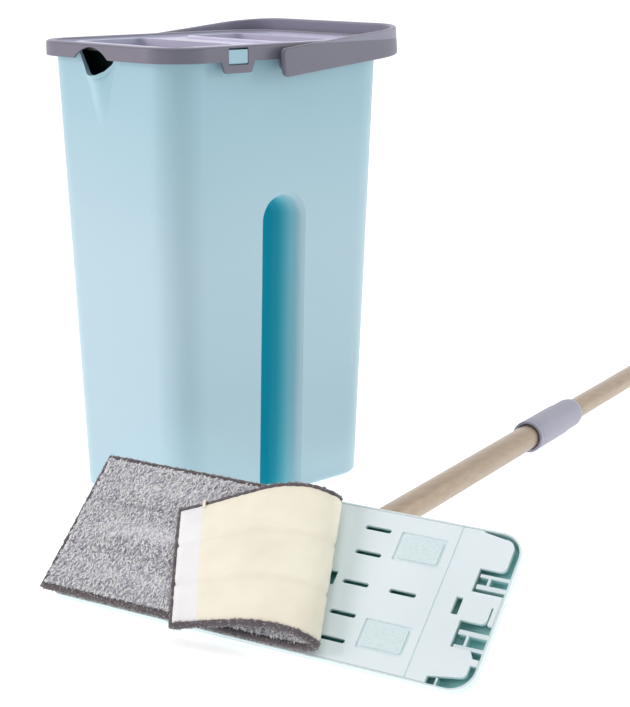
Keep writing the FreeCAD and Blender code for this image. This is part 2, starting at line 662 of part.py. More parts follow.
def end_ribs(floor):
    """Lengthwise and cross ribs of the shell that show in the +x openings."""
    ribs = []
    for low, high in ((23.2, 25.4), (14.6, 17.8), (-18.6, -15.4), (-28.4, -26.0)):
        ribs.append(box((WINDOW_START + 1.6, low, floor), (HEAD_HALF[0] - SHELL_RIM + 0.2, high, -0.9)))
    for low, high in ((17.5, 23.5), (-26.3, -18.3)):
        ribs.append(box((152.4, low, floor), (154.2, high, -1.1)))
    ribs.append(box((143.3, -HEAD_HALF[1] + SHELL_RIM - 0.2, floor), (144.6, -50.5, -1.1)))
    return ribs


def head_shell():
    """The head's outer tray: back wall, rim, swivel boss and stiffening ribs."""
    edge = rounded_prism(HEAD_HALF, HEAD_CORNER, SHELL_EDGE, 0.0)
    edge = edge.makeFillet(0.5, edges_where(edge, lambda p: p.z > -0.01))
    shell = edge.fuse(tapered_back(0.0, SHELL_BACK, SHELL_EDGE))
    inside = [size - SHELL_RIM for size in HEAD_HALF]
    floor = SHELL_BACK + SHELL_WALL
    shell = shell.cut(rounded_prism(inside, HEAD_CORNER - SHELL_RIM, SHELL_EDGE, 1.0))
    hollow = tapered_back(SHELL_RIM, SHELL_BACK, SHELL_EDGE).cut(box((-200, -80, -20), (200, 80, floor)))
    shell = shell.cut(hollow)
    half = [size - SHELL_TAPER - 0.8 for size in HEAD_HALF]
    corner = HEAD_CORNER - SHELL_TAPER - 0.8
    back_rim = rounded_prism(half, corner, BACK_RIM, SHELL_BACK + 0.5)
    half = [size - BACK_RIM_WIDTH for size in half]
    back_rim = back_rim.cut(rounded_prism(half, corner - BACK_RIM_WIDTH, BACK_RIM - 1, SHELL_BACK + 1))
    boss = rod(BOSS_RADIUS, (0, 0, BOSS_BACK), (0, 0, floor + 0.8))
    ribs = []
    for rib in end_ribs(floor - 0.2):
        ribs += mirrored(rib, (1, 0, 0))
    shell = shell.fuse([boss, back_rim] + ribs)
    bore = TURRET_SHAFT + RUNNING
    return shell.cut(rod(bore, (0, 0, BOSS_BACK - 1), (0, 0, floor + 2))).removeSplitter()


def tapered_back(inset, low, high):
    """Back of the shell, whose sides slope in."""
    wires = []
    for z, taper in ((low, SHELL_TAPER), (high, 0.0)):
        half = [size - inset - taper for size in HEAD_HALF]
        wires.append(rounded_wire(half, HEAD_CORNER - inset - taper, z))
    return Part.makeLoft(wires, True, True)


def slot_cutter(u, v):
    """Round-ended slot through the panel."""
    half = (SLOT_LENGTH / 2, SLOT_WIDTH / 2)
    return rounded_prism(half, SLOT_WIDTH / 2 - 0.01, -12, 2, (u, v))


def head_panel():
    """The pale panel under the pad, with its slots, recesses and end openings."""
    half = [size - SHELL_RIM - PANEL_GAP for size in HEAD_HALF]
    corner = HEAD_CORNER - SHELL_RIM - PANEL_GAP
    panel = rounded_prism(half, corner, -PANEL_THICKNESS, 0.0)
    posts = [rod(2.5, (x, y, SHELL_BACK + SHELL_WALL), (x, y, -PANEL_THICKNESS + 0.5))
             for x in (-125, -35, 35, 125) for y in (-32, 32)]
    cutters = []
    for end in (1, -1):
        cutters += [slot_cutter(end * SLOT_U, v) for v in SLOT_ROWS]
        cutters.append(slot_cutter(end * MID_SLOT_U, 0.0))
        cutters.append(box(*sorted_box((end * CATCH_HOLE[0], -6.5, -12), (end * CATCH_HOLE[1], 6.0, 2))))
        cutters.append(box(*sorted_box((end * CREASE[0], -60, -0.7), (end * CREASE[1], 60, 1))))
        cutters.append(box(*sorted_box((end * CENTRE_HOLE[0], -4.5, -12), (end * CENTRE_HOLE[1], 5.5, 2))))
        for side in (1, -1):
            cutters.append(recess_prism(end, side, RECESS_SIZE, -RECESS_DEPTH, 1.0))
    for cutter in end_openings():
        cutters += mirrored(cutter, (1, 0, 0))
    return panel.fuse(posts).cut(cutters).removeSplitter()


def sorted_box(first, second):
    """Lowest and highest corners of the box between two points."""
    return [min(a, b) for a, b in zip(first, second)], [max(a, b) for a, b in zip(first, second)]


def recess_prism(end, side, size, low, high):
    """Rounded prism at one of the four hook patches."""
    half = (size[0] / 2, size[1] / 2)
    return rounded_prism(half, 1.5, low, high, (end * PATCH_U, side * PATCH_V))


def hook_patches():
    """Four hook-and-loop patches that hold the pad."""
    corners = [(end, side) for end in (1, -1) for side in (1, -1)]
    patches = [recess_prism(end, side, PATCH_SIZE, -RECESS_DEPTH, -0.1) for end, side in corners]
    return Part.makeCompound(patches)


def swivel_turret():
    """Turret that swivels in the shell's boss and carries the tilt pin in two ears."""
    disc = rod(TURRET_RADIUS, (0, 0, TURRET_FACE), (0, 0, BOSS_BACK - 0.2))
    disc = disc.makeFillet(1.0, edges_where(disc, lambda p: p.z < TURRET_FACE + 0.01))
    shaft_end = SHELL_BACK + SHELL_WALL + 0.9
    turret = disc.fuse(rod(TURRET_SHAFT, (0, 0, BOSS_BACK - 0.5), (0, 0, shaft_end)))
    for side in (1, -1):
        inner, outer = sorted((side * EAR_INNER, side * EAR_OUTER))
        ear = rod(EAR_RADIUS, (inner, 0, -JOINT_HEIGHT), (outer, 0, -JOINT_HEIGHT))
        foot = box((inner, -EAR_RADIUS, -JOINT_HEIGHT), (outer, EAR_RADIUS, TURRET_FACE + 0.5))
        turret = turret.fuse([ear, foot])
    turret = turret.cut(rod(PIN_RADIUS + PRESSED, (-20, 0, -JOINT_HEIGHT), (20, 0, -JOINT_HEIGHT)))
    screw = rod(1.5, (0, 0, -13.5), (0, 0, shaft_end + 1))
    return turret.cut(screw).removeSplitter()


def tilt_pin():
    """Steel pin that the pole's socket tilts on."""
    return rod(PIN_RADIUS, (-EAR_OUTER, 0, -JOINT_HEIGHT), (EAR_OUTER, 0, -JOINT_HEIGHT))


def turret_retainer():
    """Washer inside the head that keeps the turret in its boss."""
    shaft_end = SHELL_BACK + SHELL_WALL + 0.9
    washer = rod(13.0, (0, 0, shaft_end), (0, 0, shaft_end + 1.6))
    return washer.cut(rod(1.5, (0, 0, shaft_end - 1), (0, 0, shaft_end + 3)))


def retainer_screw():
    """Screw that clamps the washer to the turret's shaft."""
    seat = SHELL_BACK + SHELL_WALL + 2.5
    head = Part.makeCylinder(3.2, 1.6, Vector(0, 0, seat))
    drive = rod(1.0, (0, 0, seat + 0.8), (0, 0, seat + 2))
    return head.fuse(rod(1.5, (0, 0, -13.5), (0, 0, seat + 0.2))).cut(drive)


def mop_pad():
    """The washable pad: flat along the head, with one end peeled back over itself."""
    edge = PAD_HALF_WIDTH - 1
    front, back = (FOLD_FRONT, -edge), (FOLD_BACK, edge)
    lower = polygon_prism([(u, v, PAD_BASE) for u, v in ((PAD_END, -edge), front, back, (PAD_END, edge))],
                          (0, 0, PAD_TOP - PAD_BASE))
    flap = polygon_prism([(u, v, PAD_TOP) for u, v in (FLAP_FRONT, front, back, FLAP_BEND, FLAP_BACK)],
                         (0, 0, FLAP_THICKNESS))
    flap.rotate(Vector(FLAP_BACK[0], 0, PAD_TOP), Vector(0, 1, 0), -FLAP_RISE_DEG)
    run = (FOLD_FRONT + FOLD_BACK) / 2 - FLAP_BACK[0]
    fold_top = PAD_TOP + FLAP_THICKNESS + run * math.tan(math.radians(FLAP_RISE_DEG))
    radius = (fold_top - PAD_BASE) / 2
    bulge = rod(radius, (*front, PAD_BASE + radius), (*back, PAD_BASE + radius))
    return lower.fuse([flap, bulge]).removeSplitter()


# ---------------------------------------------------------------- pole, in its own frame
# z runs along the pole from the tilt pin, and x lies along the pin.
def pole_socket():
    """Moulded knuckle on the tilt pin, with a spigot inside the lower tube."""
    half = EAR_INNER - 0.3
    lug = rod(LUG_RADIUS, (-half, 0, 0), (half, 0, 0))
    neck = box((-half + 1.2, -5.2, 0), (half - 1.2, 5.2, 25))
    flare = Part.makeCone(6.5, TUBE_RADIUS, 6.0, Vector(0, 0, TUBE_START - 12))
    body = flare.fuse(rod(TUBE_RADIUS, (0, 0, TUBE_START - 6), (0, 0, TUBE_START)))
    spigot = rod(TUBE_RADIUS - TUBE_WALL - 0.05, (0, 0, TUBE_START), (0, 0, TUBE_START + SPIGOT_LENGTH))
    socket = lug.fuse([neck, body, spigot])
    socket = socket.cut(rod(PIN_RADIUS + RUNNING, (-30, 0, 0), (30, 0, 0)))
    rivet_z = TUBE_START + SPIGOT_LENGTH / 2
    return socket.cut(rod(RIVET_RADIUS + PRESSED, (-20, 0, rivet_z), (20, 0, rivet_z))).removeSplitter()


def socket_rivet():
    """Rivet through the lower tube and the socket's spigot."""
    z = TUBE_START + SPIGOT_LENGTH / 2
    shank = rod(RIVET_RADIUS, (-TUBE_RADIUS - 0.2, 0, z), (TUBE_RADIUS + 0.2, 0, z))
    head = rod(3.0, (TUBE_RADIUS + 0.1, 0, z), (TUBE_RADIUS + 1.0, 0, z))
    return shank.fuse(mirrored(head, (1, 0, 0))).removeSplitter()


def pole_lower_tube():
    """Outer tube of the telescopic pole."""
    tube = rod(TUBE_RADIUS, (0, 0, TUBE_START), (0, 0, TUBE_END))
    tube = tube.cut(rod(TUBE_RADIUS - TUBE_WALL, (0, 0, TUBE_START - 1), (0, 0, TUBE_END + 1)))
    z = TUBE_START + SPIGOT_LENGTH / 2
    return tube.cut(rod(RIVET_RADIUS + PRESSED, (-20, 0, z), (20, 0, z)))


def tube_bushing():
    """Plastic bush in the lower tube's mouth that guides the upper tube."""
    outer = TUBE_RADIUS - TUBE_WALL
    inner, brim = INNER_RADIUS + RUNNING, TUBE_RADIUS + 0.6
    foot, top = TUBE_END - 22, TUBE_END + 2
    profile = [(inner, foot), (outer, foot), (outer, TUBE_END), (brim, TUBE_END), (brim, top), (inner, top)]
    return revolved(profile)


def expander_plug():
    """Plug on the upper tube's buried end that keeps it from pulling out."""
    wide, narrow = TUBE_RADIUS - TUBE_WALL - RUNNING, INNER_RADIUS - INNER_WALL
    foot, top = INNER_START - 8, INNER_START + 14
    profile = [(0, foot), (wide - 1.3, foot), (wide, foot + 2), (wide, INNER_START)]
    return revolved(profile + [(narrow, INNER_START), (narrow, top), (0, top)])


def pole_upper_tube():
    """Inner tube of the telescopic pole."""
    tube = rod(INNER_RADIUS, (0, 0, INNER_START), (0, 0, INNER_END))
    return tube.cut(rod(INNER_RADIUS - INNER_WALL, (0, 0, INNER_START - 1), (0, 0, INNER_END + 1)))


def lock_collar():
    """Twist-lock collar over the joint of the two tubes: a wavy-ended sleeve over a nut."""
    mouth, ring, sleeve_end, end = COLLAR
    r, bore, close = COLLAR_RADIUS, TUBE_RADIUS + 1.1, TUBE_RADIUS + 0.15
    nut_bore = INNER_RADIUS + 0.35
    outside = [(r - 0.5, mouth), (r, mouth + 0.8), (r, ring), (r - 0.5, ring + 0.4), (r - 0.5, ring + 1.2),
               (r - 0.2, ring + 1.8), (r - 0.2, sleeve_end)]
    inside = [(bore, sleeve_end), (bore, COLLAR_SEAT), (close, COLLAR_SEAT), (close, mouth + 4),
              (bore, mouth + 4), (bore, mouth)]
    sleeve = revolved(outside + inside)
    for turn in range(5):
        wave = rod(SCALLOP, (0, 0, sleeve_end + 4), (20, 0, sleeve_end + 4))
        wave.rotate(Vector(0, 0, 0), Vector(0, 0, 1), turn * 72 + 20)
        sleeve = sleeve.cut(wave)
    nut = revolved([(nut_bore, TUBE_END + 3), (bore + 0.1, TUBE_END + 3), (bore + 0.1, sleeve_end - 9),
                    (NUT_RADIUS, sleeve_end - 9), (NUT_RADIUS, end - 6), (NUT_RADIUS - 1.2, end),
                    (nut_bore, end)])
    return sleeve.fuse(nut).removeSplitter()


def hand_grip():
    """Soft sleeve at the top of the pole."""
    start, end = GRIP
    r = GRIP_RADIUS
    profile = [(INNER_RADIUS, start), (r - 2.2, start), (r - 0.4, start + 3), (r, start + 9),
               (r - 0.8, start + 40), (r - 0.8, end - 45), (r, end - 12), (r, end), (INNER_RADIUS, end)]
    return revolved(profile)


def hang_cap():
    """Cap in the pole's end with an eye to hang it by."""
    plug = rod(INNER_RADIUS - INNER_WALL, (0, 0, INNER_END - 14), (0, 0, INNER_END))
    base = GRIP[1]
    body = revolved([(0, INNER_END), (INNER_RADIUS, INNER_END), (INNER_RADIUS, base), (12.6, base),
                     (12.4, base + 6), (8.0, base + 14), (0, base + 14)])
    half = EYE_THICKNESS / 2
    disc = rod(CAP_END - EYE_CENTRE, (-half, 0, EYE_CENTRE), (half, 0, EYE_CENTRE))
    tongue = box((-half, -9.0, base + 8), (half, 9.0, EYE_CENTRE))
    cap = body.fuse([plug, disc, tongue])
    return cap.cut(rod(EYE_RADIUS, (-20, 0, EYE_CENTRE), (20, 0, EYE_CENTRE))).removeSplitter()


# ---------------------------------------------------------------- placing and writing
def mop_placements():
    """Where the head's frame and the pole's frame lie in the row frame."""
    heading, tilt, slope = (math.radians(angle) for angle in (HEADING_DEG, HEAD_TILT_DEG, POLE_SLOPE_DEG))
    along = Vector(math.sin(heading), -math.cos(heading), 0)
    ahead = Vector(math.cos(heading), math.sin(heading), 0)
    across = ahead * math.cos(tilt) + Vector(0, 0, math.sin(tilt))
    normal = along.cross(across)
    centre = Vector(*HEAD_CENTRE)
    head = frame_placement(along, across, normal, centre)
    pole_axis = ahead * math.cos(slope) + Vector(0, 0, math.sin(slope))
    pole = frame_placement(along, pole_axis.cross(along), pole_axis, centre - normal * JOINT_HEIGHT)
    return head, pole


def write(name, shape, placement=None):
    """Check one sub-part and write it to its STEP file."""
    if placement is not None:
        shape = shape.copy()
        shape.transformShape(placement.toMatrix(), True)
    box_ = shape.BoundBox
    print(f"{name:18s} solids {len(shape.Solids)} valid {shape.isValid()} cm3 {shape.Volume / 1000:8.2f}"
          f"  x {box_.XMin:7.1f} {box_.XMax:7.1f}  y {box_.YMin:7.1f} {box_.YMax:7.1f}"
          f"  z {box_.ZMin:7.1f} {box_.ZMax:7.1f}")
    shape.exportStep(f"parts/{name}.step")


BUCKET_PARTS = (bucket_tub, top_frame, wash_chute, wash_comb, wringer_housing, guide_roller, roller_axle,
                scraper_lip, bail_handle)
HEAD_PARTS = (head_shell, head_panel, hook_patches, mop_pad, swivel_turret, tilt_pin, turret_retainer,
              retainer_screw)
POLE_PARTS = (pole_socket, socket_rivet, pole_lower_tube, tube_bushing, expander_plug, pole_upper_tube,
              lock_collar, hand_grip, hang_cap)

os.makedirs("parts", exist_ok=True)
head_place, pole_place = mop_placements()
for make in BUCKET_PARTS:
    write(make.__name__, make())
for make in HEAD_PARTS:
    write(make.__name__, make(), head_place)
for make in POLE_PARTS:
    write(make.__name__, make(), pole_place)
print("tilt pin", [round(value, 3) for value in pole_place.Base])
for label, place in (("head", head_place), ("pole", pole_place)):
    print(label, [[round(value, 5) for value in place.Rotation.multVec(axis)]
                  for axis in (Vector(1, 0, 0), Vector(0, 1, 0), Vector(0, 0, 1))])
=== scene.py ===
"""Flat mop and self-wringing bucket, in a plain pale studio."""
import json
import math
import random

import bpy
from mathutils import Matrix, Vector


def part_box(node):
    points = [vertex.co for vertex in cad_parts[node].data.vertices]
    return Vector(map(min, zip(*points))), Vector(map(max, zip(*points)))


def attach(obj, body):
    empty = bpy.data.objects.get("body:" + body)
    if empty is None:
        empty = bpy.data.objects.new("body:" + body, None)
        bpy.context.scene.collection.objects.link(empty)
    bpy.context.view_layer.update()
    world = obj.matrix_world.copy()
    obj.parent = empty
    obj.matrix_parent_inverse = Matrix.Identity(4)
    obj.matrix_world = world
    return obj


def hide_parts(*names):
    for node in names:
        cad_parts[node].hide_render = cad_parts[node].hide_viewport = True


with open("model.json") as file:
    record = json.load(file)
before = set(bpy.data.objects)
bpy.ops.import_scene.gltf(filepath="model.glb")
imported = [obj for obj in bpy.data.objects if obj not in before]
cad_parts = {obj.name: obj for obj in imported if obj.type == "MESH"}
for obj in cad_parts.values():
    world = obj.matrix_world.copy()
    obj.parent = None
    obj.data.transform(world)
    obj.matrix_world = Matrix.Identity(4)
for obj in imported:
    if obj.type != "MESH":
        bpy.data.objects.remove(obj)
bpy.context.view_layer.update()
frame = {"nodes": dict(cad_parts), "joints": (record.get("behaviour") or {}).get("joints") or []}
MM = 0.001
JOINTS = {joint["name"]: joint for joint in frame["joints"]}

# The mop head's own axes: ALONG it, ACROSS it and OUT of its pad side, from the middle of that side.
HEAD_CENTRE = Vector(JOINTS["head_swivel"]["pos_m"])
OUT = Vector(JOINTS["head_swivel"]["axis"]).normalized()
ALONG = Vector(JOINTS["head_tilt"]["axis"]).normalized()
ACROSS = OUT.cross(ALONG).normalized()

TUB_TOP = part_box("bucket_tub")[1].z
LIP_Y = 0.0073                 # the pouring lip's middle
RIM_HUB = (0.0878, 0.0565)     # centres of the rounded corners of the rim
HEAD_HUB = (0.1514, 0.0406)    # and of the mop head

# ---------------------------------------------------------------- colours, linear
TUB_BLUE = (0.41, 0.585, 0.665)
# painted shade for the bottoms of the tub's flutes
TUB_FLUTE_SHADE = (0.0, 0.32, 0.45)
RIM_GREY = (0.155, 0.155, 0.20)
# painted highlight on the rim's top land
RIM_TOP_HIGHLIGHT = (0.26, 0.26, 0.34)
DECK_LAVENDER = (0.62, 0.62, 0.79)
MINT = (0.83, 0.94, 0.97)
SHELL_MINT = (0.75, 0.88, 0.90)
CHAMPAGNE = (0.38, 0.29, 0.205)
LAVENDER = (0.34, 0.34, 0.42)
CREAM = (0.98, 0.93, 0.77)
BAND_WHITE = (0.93, 0.94, 0.96)
BINDING = (0.125, 0.11, 0.12)
FRINGE_PALE = (0.55, 0.52, 0.50)
YARN_WHITE = (0.95, 0.97, 1.0)
YARN_GREY = (0.50, 0.51, 0.60)
# painted shade: the hollow over the pouring lip, and the chute face behind it
LIP_HOLLOW_SHADE = (0.006, 0.010, 0.010)
CHUTE_SHADE = (0.012, 0.030, 0.030)


# ---------------------------------------------------------------- shader helpers
class Shader:
    """One node material: a Principled shader and the few texture nodes that drive it."""

    def __init__(self, name, roughness, **sockets):
        self.material = bpy.data.materials.new(name)
        self.material.use_nodes = True
        self.tree = self.material.node_tree
        self.surface = self.tree.nodes["Principled BSDF"]
        self.surface.inputs["Roughness"].default_value = roughness
        for socket, value in sockets.items():
            self.surface.inputs[socket.replace("_", " ")].default_value = value
        self.place = self.node("ShaderNodeTexCoord").outputs["Object"]

    def node(self, kind, **settings):
        made = self.tree.nodes.new(kind)
        for name, value in settings.items():
            setattr(made, name, value)
        return made

    def link(self, source, target):
        self.tree.links.new(source, target)

    def rounded(self, first, second, hub):
        """How far a point lies past a corner hub, in the plane of two of its coordinates."""
        squares = []
        for value, half in zip((first, second), hub):
            past = self.math("MAXIMUM", self.math("SUBTRACT", self.math("ABSOLUTE", value), half), 0.0)
            squares.append(self.math("MULTIPLY", past, past))
        return self.math("SQRT", self.math("ADD", squares[0], squares[1]))

    def along(self, axis, centre):
        """Distance of a point from a centre along an axis."""
        dot = self.node("ShaderNodeVectorMath", operation="DOT_PRODUCT")
        self.link(self.place, dot.inputs[0])
        dot.inputs[1].default_value = axis
        return self.math("SUBTRACT", dot.outputs["Value"], centre.dot(axis))

    def math(self, operation, first, second=None):
        made = self.node("ShaderNodeMath", operation=operation)
        for socket, value in zip(made.inputs, (first, second)):
            if value is None:
                continue
            if isinstance(value, (int, float)):
                socket.default_value = value
            else:
                self.link(value, socket)
        return made.outputs[0]

    def noise(self, scale, detail=3.0, roughness=0.5, stretch=None):
        made = self.node("ShaderNodeTexNoise")
        made.inputs["Scale"].default_value = scale
        made.inputs["Detail"].default_value = detail
        made.inputs["Roughness"].default_value = roughness
        place = self.place
        if stretch:
            mapping = self.node("ShaderNodeMapping")
            mapping.inputs["Scale"].default_value = stretch
            self.link(place, mapping.inputs["Vector"])
            place = mapping.outputs["Vector"]
        self.link(place, made.inputs["Vector"])
        return made.outputs["Fac"]

    def ramp(self, factor, stops):
        made = self.node("ShaderNodeValToRGB")
        band = made.color_ramp
        while len(band.elements) < len(stops):
            band.elements.new(0.5)
        for element, (at, colour) in zip(band.elements, stops):
            element.position = at
            element.color = (*colour, 1.0)
        self.link(factor, made.inputs["Fac"])
        return made.outputs["Color"]

    def mix(self, factor, first, second):
        made = self.node("ShaderNodeMix", data_type="RGBA")
        self.link(factor, made.inputs["Factor"])
        for socket, value in ((made.inputs["A"], first), (made.inputs["B"], second)):
            if isinstance(value, tuple):
                socket.default_value = (*value, 1.0)
            else:
                self.link(value, socket)
        return made.outputs["Result"]

    def remap(self, value, low, high, to_low=0.0, to_high=1.0):
        made = self.node("ShaderNodeMapRange")
        for name, number in (("From Min", low), ("From Max", high), ("To Min", to_low), ("To Max", to_high)):
            made.inputs[name].default_value = number
        self.link(value, made.inputs["Value"])
        return made.outputs["Result"]

    def colour(self, output):
        self.link(output, self.surface.inputs["Base Color"])

    def rough(self, output):
        self.link(output, self.surface.inputs["Roughness"])

    def bump(self, height, strength, distance):
        made = self.node("ShaderNodeBump")
        made.inputs["Strength"].default_value = strength
        made.inputs["Distance"].default_value = distance
        self.link(height, made.inputs["Height"])
        self.link(made.outputs["Normal"], self.surface.inputs["Normal"])


def shades(colour, spread):
    """A slightly darker and a slightly lighter version of a colour."""
    darker = tuple(channel * (1 - spread) for channel in colour)
    lighter = tuple(min(1.0, channel * (1 + spread)) for channel in colour)
    return darker, lighter


def plastic(name, colour, roughness, grain=900.0, spread=0.04, depth=0.00006, **sockets):
    """Moulded plastic: faint flow marks in the colour, and a fine grain in the gloss and relief."""
    shader = Shader(name, roughness, **sockets)
    darker, lighter = shades(colour, spread)
    shader.colour(shader.ramp(shader.noise(9.0, 2.0), [(0.3, darker), (0.7, lighter)]))
    fine = shader.noise(grain, 2.0)
    shader.rough(shader.remap(fine, 0.3, 0.7, roughness - 0.05, roughness + 0.07))
    shader.bump(fine, 0.35, depth)
    return shader


def tub_material():
    """Pale blue polypropylene, with painted shade that deepens to teal inside the flutes."""
    shader = Shader("tub_polypropylene", 0.34, Specular_IOR_Level=0.4)
    split = shader.node("ShaderNodeSeparateXYZ")
    shader.link(shader.place, split.inputs[0])
    height = shader.remap(split.outputs["Z"], 0.0, TUB_TOP)
    tone = shader.math("ADD", shader.math("MULTIPLY", shader.noise(5.0, 2.0), 0.10), height)
    low, high = (0.42, 0.60, 0.68), (0.33, 0.53, 0.615)
    pale = shader.ramp(tone, [(0.05, low), (0.6, TUB_BLUE), (0.95, high)])
    # Painted shade: inside the flutes the colour turns teal, darker the deeper in, and the reflection is
    # turned down.
    side = shader.math("ABSOLUTE", split.outputs["Y"])
    middle = shader.math("ABSOLUTE", split.outputs["X"])
    face = shader.remap(split.outputs["Z"], 0.0, 0.372, 0.0740, 0.0847)
    sunk = shader.remap(shader.math("SUBTRACT", face, side), 0.0012, 0.0275)
    inside = shader.remap(middle, 0.030, 0.036, 1.0, 0.0)
    flute = shader.math("MULTIPLY", sunk, inside)
    recess_shade = shader.ramp(flute, [(0.0, TUB_BLUE), (0.08, (0.38, 0.58, 0.66)), (0.35, (0.30, 0.62, 0.70)),
                               (0.7, (0.09, 0.50, 0.60)), (1.0, TUB_FLUTE_SHADE)])
    shader.colour(shader.mix(shader.math("GREATER_THAN", flute, 0.001), pale, recess_shade))
    shader.link(shader.remap(flute, 0.0, 0.5, 0.4, 0.05), shader.surface.inputs["Specular IOR Level"])
    fine = shader.noise(700.0, 2.0)
    shader.rough(shader.remap(fine, 0.3, 0.7, 0.30, 0.40))
    shader.bump(fine, 0.15, 0.00003)
    return shader.material


def rim_material():
    """Fine-grained grey plastic, paler and bluer on the sunk deck, with a painted highlight on its top land
    and painted shade, near black, in the hollow over the lip.
    """
    shader = Shader("rim_plastic", 0.40, Specular_IOR_Level=0.45)
    darker, lighter = shades(RIM_GREY, 0.04)
    grey = shader.ramp(shader.noise(9.0, 2.0), [(0.3, darker), (0.7, lighter)])
    split = shader.node("ShaderNodeSeparateXYZ")
    shader.link(shader.place, split.inputs[0])
    low = shader.remap(split.outputs["Z"], 0.3768, 0.3795, 1.0, 0.0)
    past = shader.rounded(split.outputs["X"], split.outputs["Y"], RIM_HUB)
    deck = shader.math("MULTIPLY", low, shader.remap(past, 0.0288, 0.0294, 1.0, 0.0))
    # Painted highlight: the rim's rounded top land is drawn paler, where it catches the light.
    top = shader.remap(split.outputs["Z"], 0.3789, 0.3797)
    toned = shader.mix(deck, shader.mix(top, grey, RIM_TOP_HIGHLIGHT), DECK_LAVENDER)
    # Painted shade: the hollow behind the pouring lip, where little light gets in, is near black.
    behind = shader.remap(split.outputs["X"], -0.1219, -0.1215)
    front = shader.remap(split.outputs["X"], -0.1166, -0.1160, 1.0, 0.0)
    under = shader.remap(split.outputs["Z"], 0.3785, 0.3780)
    aside = shader.math("ABSOLUTE", shader.math("SUBTRACT", split.outputs["Y"], LIP_Y))
    over_lip = shader.remap(aside, 0.026, 0.028, 1.0, 0.0)
    across, through = shader.math("MULTIPLY", under, over_lip), shader.math("MULTIPLY", behind, front)
    hollow = shader.math("MULTIPLY", across, through)
    shader.colour(shader.mix(hollow, toned, LIP_HOLLOW_SHADE))
    fine = shader.noise(1100.0, 2.0)
    shader.rough(shader.remap(fine, 0.3, 0.7, 0.36, 0.46))
    shader.bump(fine, 0.2, 0.00004)
    return shader.material


def head_material(name, colour):
    """Pale mint plastic with painted shade that deepens to green in its slots, measured along the head's
    normal.
    """
    shader = Shader(name, 0.33, Specular_IOR_Level=0.45, Subsurface_Weight=0.05, Subsurface_Scale=0.004)
    darker, lighter = shades(colour, 0.03)
    pale = shader.ramp(shader.noise(12.0, 2.0), [(0.3, darker), (0.7, lighter)])
    height = shader.along(OUT, HEAD_CENTRE)
    # Painted shade: the slots and the hollow under the panel go green the deeper they lie, a lighter green
    # in the windows at the ends.
    under = shader.remap(height, -0.0016, -0.0078)
    back = shader.remap(height, -0.0084, -0.0079)
    past = shader.rounded(shader.along(ALONG, HEAD_CENTRE), shader.along(ACROSS, HEAD_CENTRE), HEAD_HUB)
    inside = shader.remap(past, 0.0161, 0.0165, 1.0, 0.0)
    recess_shade = shader.math("MULTIPLY", inside, shader.math("MULTIPLY", under, back))
    green = shader.ramp(recess_shade, [(0.0, (1, 1, 1)), (0.1, (0.62, 0.85, 0.83)), (0.45, (0.40, 0.72, 0.68)),
                               (1.0, (0.20, 0.54, 0.50))])
    end_slot_shade = shader.ramp(recess_shade, [(0.0, (1, 1, 1)), (0.1, (0.72, 0.90, 0.88)), (0.45, (0.60, 0.86, 0.83)),
                                  (1.0, (0.46, 0.78, 0.74))])
    at_end = shader.remap(shader.along(ALONG, HEAD_CENTRE), 0.118, 0.122)
    shade_multiply = shader.node("ShaderNodeMix", data_type="RGBA", blend_type="MULTIPLY")
    shade_multiply.inputs["Factor"].default_value = 1.0
    shader.link(pale, shade_multiply.inputs["A"])
    shader.link(shader.mix(at_end, green, end_slot_shade), shade_multiply.inputs["B"])
    shader.colour(shade_multiply.outputs["Result"])
    fine = shader.noise(900.0, 2.0)
    shader.rough(shader.remap(fine, 0.3, 0.7, 0.28, 0.38))
    shader.bump(fine, 0.2, 0.00004)
    return shader.material


def pole_material():
    """Satin champagne lacquer on steel, drawn along the tube."""
    shader = Shader("pole_lacquer", 0.34, Metallic=0.55, Specular_IOR_Level=0.6, Coat_Weight=0.25,
                    Coat_Roughness=0.15)
    along = shader.noise(60.0, 3.0, 0.6, stretch=(0.4, 5.0, 5.0))
    darker, lighter = shades(CHAMPAGNE, 0.10)
    shader.colour(shader.ramp(along, [(0.3, darker), (0.7, lighter)]))
    fine = shader.noise(500.0, 2.0, 0.5, stretch=(0.15, 4.0, 4.0))
    shader.rough(shader.remap(fine, 0.3, 0.7, 0.28, 0.42))
    shader.bump(fine, 0.12, 0.00005)
    return shader.material


def chute_material():
    """The deck's lavender plastic, with painted shade, near black, on the side that faces the pouring lip.
    """
    shader = Shader("wash_chute_plastic", 0.4)
    darker, lighter = shades(DECK_LAVENDER, 0.04)
    tone = shader.ramp(shader.noise(9.0, 2.0), [(0.3, darker), (0.7, lighter)])
    split = shader.node("ShaderNodeSeparateXYZ")
    shader.link(shader.place, split.inputs[0])
    # Painted shade on the chute's outer face below the deck, behind the lip.
    outside = shader.remap(split.outputs["X"], -0.0966, -0.0962, 1.0, 0.0)
    under = shader.remap(split.outputs["Z"], 0.3762, 0.3758)
    shader.colour(shader.mix(shader.math("MULTIPLY", outside, under), tone, CHUTE_SHADE))
    fine = shader.noise(1100.0, 2.0)
    shader.rough(shader.remap(fine, 0.3, 0.7, 0.36, 0.46))
    shader.bump(fine, 0.2, 0.00004)
    return shader.material


def steel_material():
    """Drawn steel with fine lines."""
    shader = Shader("drawn_steel", 0.3, Metallic=1.0)
    lines = shader.noise(400.0, 2.0, 0.5, stretch=(1.0, 0.1, 1.0))
    shader.colour(shader.ramp(lines, [(0.3, (0.48, 0.48, 0.50)), (0.7, (0.66, 0.66, 0.68))]))
    shader.rough(shader.remap(lines, 0.3, 0.7, 0.22, 0.4))
    return shader.material


